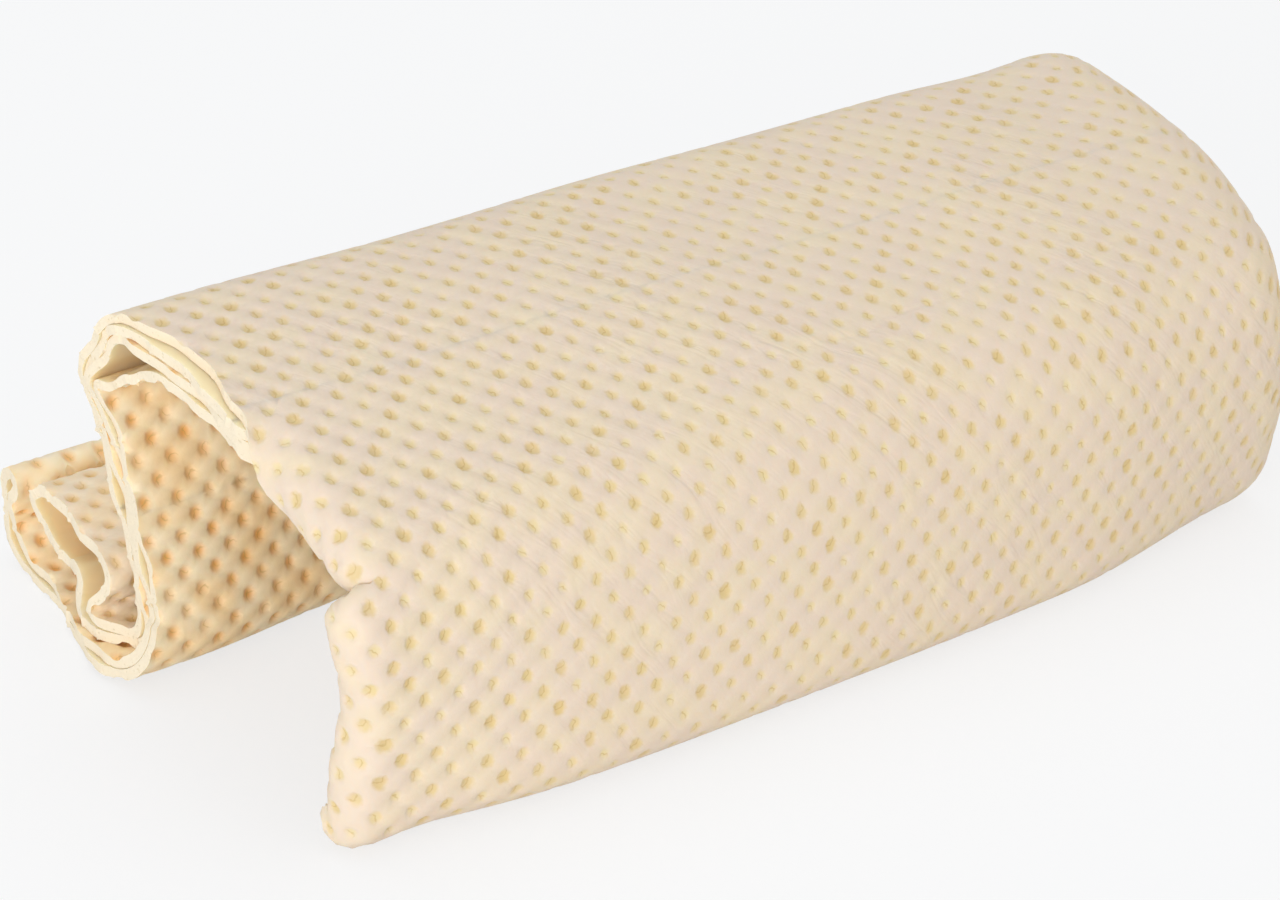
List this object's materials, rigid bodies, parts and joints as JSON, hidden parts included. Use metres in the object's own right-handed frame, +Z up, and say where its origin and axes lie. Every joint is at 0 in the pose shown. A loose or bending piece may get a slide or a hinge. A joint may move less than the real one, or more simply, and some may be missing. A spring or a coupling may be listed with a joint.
{
  "type": "synthetic chamois",
  "caption": "Synthetic chamois drying cloth, folded into quarters and set down as a loose arched roll, with bends that open at the shoulder, ridge and foot",
  "frame": {"origin": "on the ground, under the middle of the folded roll", "axes": "+X along the roll to the rounded folded end, +Y to the two rear loops, +Z up"},
  "size_m": [0.22, 0.141, 0.0765],
  "materials": {
    "pva_sponge": "matt cream sponge with pale yellow embossed dots"
  },
  "bodies": {
    "rear_fold": {"lower_rear_loop": "pva_sponge", "upper_rear_loop": "pva_sponge", "rear_edge_outer_ply": "pva_sponge", "rear_edge_inner_ply": "pva_sponge"},
    "back_wall": {"foot_bend_outer_plies": "pva_sponge", "foot_bend_inner_plies": "pva_sponge", "back_wall_outer_plies": "pva_sponge", "back_wall_inner_plies": "pva_sponge", "ridge_rear_outer_plies": "pva_sponge", "ridge_rear_inner_plies": "pva_sponge"},
    "top_panel": {"ridge_front_outer_plies": "pva_sponge", "ridge_front_inner_plies": "pva_sponge", "top_panel_outer_plies": "pva_sponge", "top_panel_inner_plies": "pva_sponge", "shoulder_upper_outer_plies": "pva_sponge", "shoulder_upper_inner_plies": "pva_sponge"},
    "front_flap": {"shoulder_lower_outer_plies": "pva_sponge", "shoulder_lower_inner_plies": "pva_sponge", "front_wall_outer_plies": "pva_sponge", "front_wall_inner_plies": "pva_sponge", "front_bend_outer_plies": "pva_sponge", "front_bend_inner_plies": "pva_sponge", "front_hem_outer_plies": "pva_sponge", "front_hem_inner_plies": "pva_sponge"}
  },
  "joints": [
    {"name": "foot_bend", "type": "hinge", "parent": "rear_fold", "child": "back_wall", "pos_m": [0, 0.01347, 0.01065], "axis": [-1, 0, 0], "range_deg": [0, 10]},
    {"name": "ridge_bend", "type": "hinge", "parent": "back_wall", "child": "top_panel", "pos_m": [0, 0.02199, 0.07096], "axis": [-1, 0, 0], "range_deg": [0, 100]},
    {"name": "shoulder_bend", "type": "hinge", "parent": "top_panel", "child": "front_flap", "pos_m": [0, -0.06613, 0.05304], "axis": [-1, 0, 0], "range_deg": [0, 70]}
  ]
}
